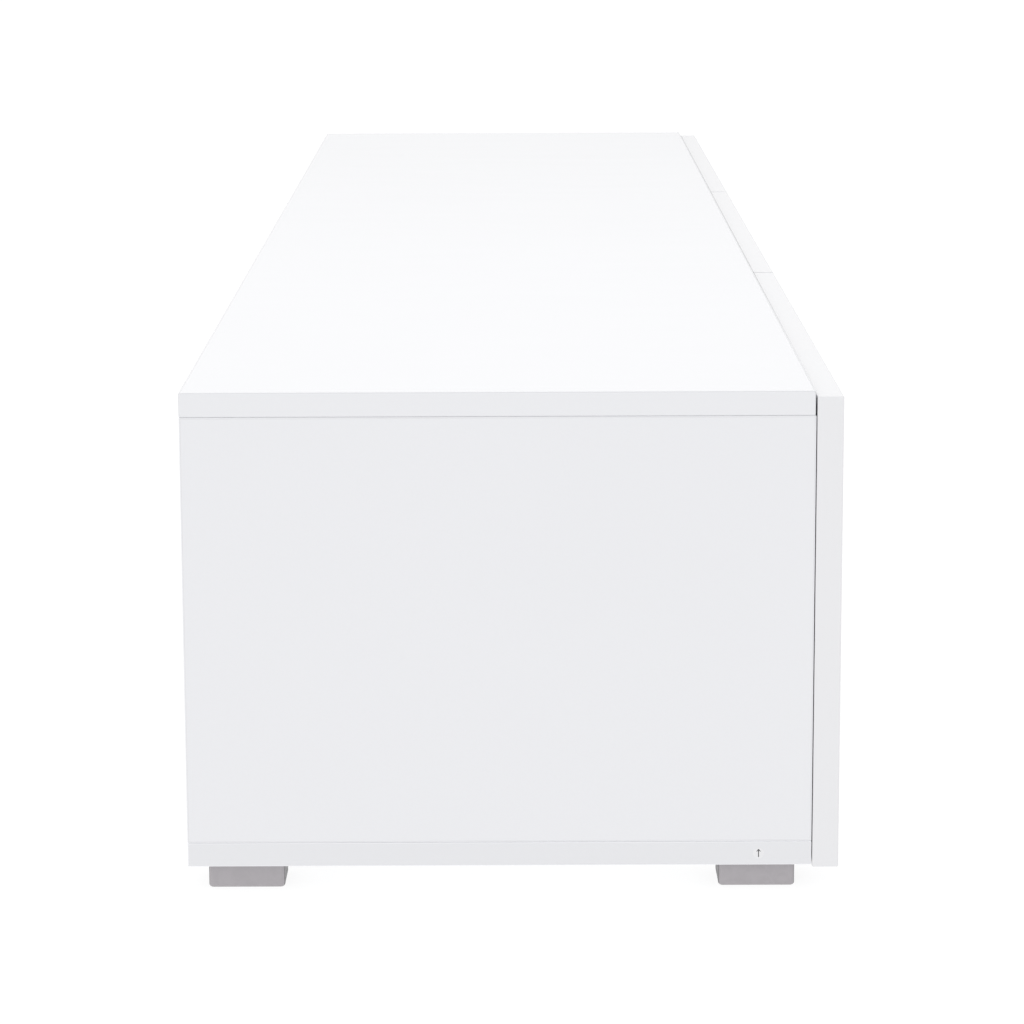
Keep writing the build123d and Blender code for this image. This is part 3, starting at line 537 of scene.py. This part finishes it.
def label_material(centre_y, centre_z):
    """Matt paper with a small printed arrow that points up."""
    shader = Shader("label_paper", LABEL_PAPER, LABEL_ROUGHNESS)
    axes = shader.axes()
    aside = shader.math("ABSOLUTE", shader.math("SUBTRACT", axes[1], centre_y))
    above = shader.math("SUBTRACT", axes[2], centre_z)
    within = shader.math("LESS_THAN", shader.math("ABSOLUTE", above), MARK_HALF_HEIGHT)
    shaft = shader.math("LESS_THAN", aside, MARK_HALF_WIDTH)
    drop = shader.math("SUBTRACT", MARK_HALF_HEIGHT, above)
    off_line = shader.math("SUBTRACT", aside, shader.math("MULTIPLY", drop, MARK_HEAD_SLOPE))
    head = shader.math("LESS_THAN", shader.math("ABSOLUTE", off_line), MARK_HALF_WIDTH)
    head = shader.math("MULTIPLY", head, shader.math("LESS_THAN", drop, MARK_HEAD_HEIGHT))
    mark = shader.math("MULTIPLY", within, shader.math("MAXIMUM", shaft, head))
    fibres = shader.noise(PAPER_FIBRE_SIZE, detail=4.0)
    fibrous = shader.remap(fibres, *PAPER_SPAN)
    paper = shader.mix(fibrous, LABEL_PAPER, scaled(LABEL_PAPER, PAPER_TONE))
    worn = shader.remap(fibres, *WORN_INK)
    shader.set("Base Color", shader.mix(shader.math("MULTIPLY", mark, worn), paper, LABEL_INK))
    shader.bump(fibres, PAPER_FIBRE_DEPTH)
    return shader.material


def make_label():
    """A thin paper disc on the panel's edge, sunk into it by a hair."""
    low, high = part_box("bottom_panel")
    centre_y = low[1] + LABEL_FROM_FRONT
    centre_z = (low[2] + high[2]) / 2
    shape = bmesh.new()
    rings = (
        (LABEL_SINK, 1.0),
        (LABEL_SINK - LABEL_THICKNESS * LABEL_STRAIGHT_SHARE, 1.0),
        (LABEL_SINK - LABEL_THICKNESS, LABEL_FACE_SHARE),
    )
    loops = []
    for offset, share in rings:
        loop = []
        for step in range(LABEL_SEGMENTS):
            angle = 2 * math.pi * step / LABEL_SEGMENTS
            y = centre_y + LABEL_RADIUS * share * math.cos(angle)
            z = centre_z + LABEL_RADIUS * share * math.sin(angle)
            loop.append(shape.verts.new((low[0] + offset, y, z)))
        loops.append(loop)
    for inner, outer in zip(loops, loops[1:]):
        for step in range(LABEL_SEGMENTS):
            after = (step + 1) % LABEL_SEGMENTS
            shape.faces.new((inner[step], inner[after], outer[after], outer[step]))
    shape.faces.new(loops[-1])
    shape.faces.new(reversed(loops[0]))
    bmesh.ops.recalc_face_normals(shape, faces=shape.faces)
    mesh = bpy.data.meshes.new("assembly_label")
    shape.to_mesh(mesh)
    shape.free()
    label = bpy.data.objects.new("assembly_label", mesh)
    bpy.context.scene.collection.objects.link(label)
    dress(label, label_material(centre_y, centre_z))
    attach(label, "carcass")


make_label()


# ---- Floor, light and camera -------------------------------------------------------------
FLOOR_SIZE = 60.0
FLOOR_WHITE = (0.93, 0.935, 0.945)
FLOOR_GLOW = 0.88
FLOOR_ROUGHNESS = 0.85
FLOOR_SPECULAR = 0.1
FLOOR_GRAIN = 0.02
FLOOR_TONES = (0.15, 0.17)
WHITE_LIGHT = (1, 1, 1, 1)


def floor_material():
    """A pale floor that glows like a light table, so that shadows on it stay faint."""
    shader = Shader("studio_floor", FLOOR_WHITE, FLOOR_ROUGHNESS)
    shader.set("Specular IOR Level", FLOOR_SPECULAR)
    shader.set("Emission Color", WHITE_LIGHT)
    shader.set("Emission Strength", FLOOR_GLOW)
    grainy = (scaled(FLOOR_WHITE, tone) for tone in FLOOR_TONES)
    shader.set("Base Color", shader.mix(shader.noise(FLOOR_GRAIN, detail=3.0), *grainy))
    return shader.material


def make_floor():
    mesh = bpy.data.meshes.new("studio_floor")
    shape = bmesh.new()
    bmesh.ops.create_grid(shape, x_segments=1, y_segments=1, size=FLOOR_SIZE / 2)
    shape.to_mesh(mesh)
    shape.free()
    floor = bpy.data.objects.new("studio_floor", mesh)
    bpy.context.scene.collection.objects.link(floor)
    dress(floor, floor_material())


def area_light(name, place, target, size, power):
    light = bpy.data.lights.new(name, "AREA")
    light.shape = "RECTANGLE"
    light.size, light.size_y = size
    light.energy = power
    lamp = bpy.data.objects.new(name, light)
    lamp.location = place
    aim = Vector(target) - Vector(place)
    lamp.rotation_euler = aim.to_track_quat("-Z", "Y").to_euler()
    bpy.context.scene.collection.objects.link(lamp)


WHITE_SIDE = 1.06            # the studio's strength all round the object
DIM_SIDE = 0.62              # and in front of the doors, which keeps them darker than the top
DIM_FROM, DIM_TO = -0.2, -0.9  # y of the directions where it starts to dim and is dimmest
FAR_CHANGES = (-0.20, 0.10)  # beyond the right end: low over the floor, and higher up
FAR_HEIGHTS = (0.04, 0.20)   # z of the directions where those two are reached
FAR_FROM, FAR_TO = 0.6, 0.9  # x of the directions over which it sets in
LAMP_PLACE = (-0.6, 0.1, 2.2)
LAMP_TARGET = (-0.6, 0.0, 0.3)
LAMP_SIZE = (1.2, 1.2)
LAMP_POWER = 4.0


def make_light():
    """A white studio all round, whose strength depends on the direction, and a lamp above."""
    world = bpy.data.worlds.new("studio")
    world.use_nodes = True
    tree = world.node_tree
    direction = tree.nodes.new("ShaderNodeSeparateXYZ")
    tree.links.new(tree.nodes.new("ShaderNodeTexCoord").outputs["Generated"], direction.inputs[0])

    def fade(axis, *limits):
        """From Min, From Max, To Min and To Max of a smooth change along one axis."""
        made = tree.nodes.new("ShaderNodeMapRange")
        made.interpolation_type = "SMOOTHSTEP"
        tree.links.new(direction.outputs[axis], made.inputs["Value"])
        for name, value in zip(("From Min", "From Max", "To Min", "To Max"), limits):
            made.inputs[name].default_value = value
        return made.outputs["Result"]

    def combine(operation, *values):
        made = tree.nodes.new("ShaderNodeMath")
        made.operation = operation
        for value, socket in zip(values, made.inputs):
            if isinstance(value, float):
                socket.default_value = value
            else:
                tree.links.new(value, socket)
        return made.outputs[0]

    beyond = fade(0, FAR_FROM, FAR_TO, 0.0, 1.0)
    change = fade(2, *FAR_HEIGHTS, *FAR_CHANGES)
    share = combine("MULTIPLY_ADD", beyond, change, 1.0)
    strength = combine("MULTIPLY", fade(1, DIM_TO, DIM_FROM, DIM_SIDE, WHITE_SIDE), share)
    background = tree.nodes["Background"]
    background.inputs["Color"].default_value = WHITE_LIGHT
    tree.links.new(strength, background.inputs["Strength"])
    bpy.context.scene.world = world
    area_light("overhead", LAMP_PLACE, LAMP_TARGET, LAMP_SIZE, LAMP_POWER)


CAMERA_PLACE = (-2.7054, -0.0008, 0.6535)
CAMERA_PITCH = 9.564         # degrees below the horizon
CAMERA_TURN = 0.007
CAMERA_ROLL = -0.212
CAMERA_LENS = 113.43
CAMERA_SHIFT = -0.15
SENSOR_WIDTH = 36


def make_camera():
    data = bpy.data.cameras.new("camera")
    data.sensor_width = SENSOR_WIDTH
    data.lens = CAMERA_LENS
    data.shift_y = CAMERA_SHIFT
    camera = bpy.data.objects.new("camera", data)
    camera.location = CAMERA_PLACE
    aim = Euler((math.radians(90 - CAMERA_PITCH), 0, math.radians(CAMERA_TURN - 90)))
    roll = Matrix.Rotation(math.radians(CAMERA_ROLL), 3, "Z")
    camera.rotation_euler = (aim.to_matrix() @ roll).to_euler()
    bpy.context.scene.collection.objects.link(camera)
    bpy.context.scene.camera = camera


make_floor()
make_light()
make_camera()
bpy.context.scene.view_settings.view_transform = "Standard"
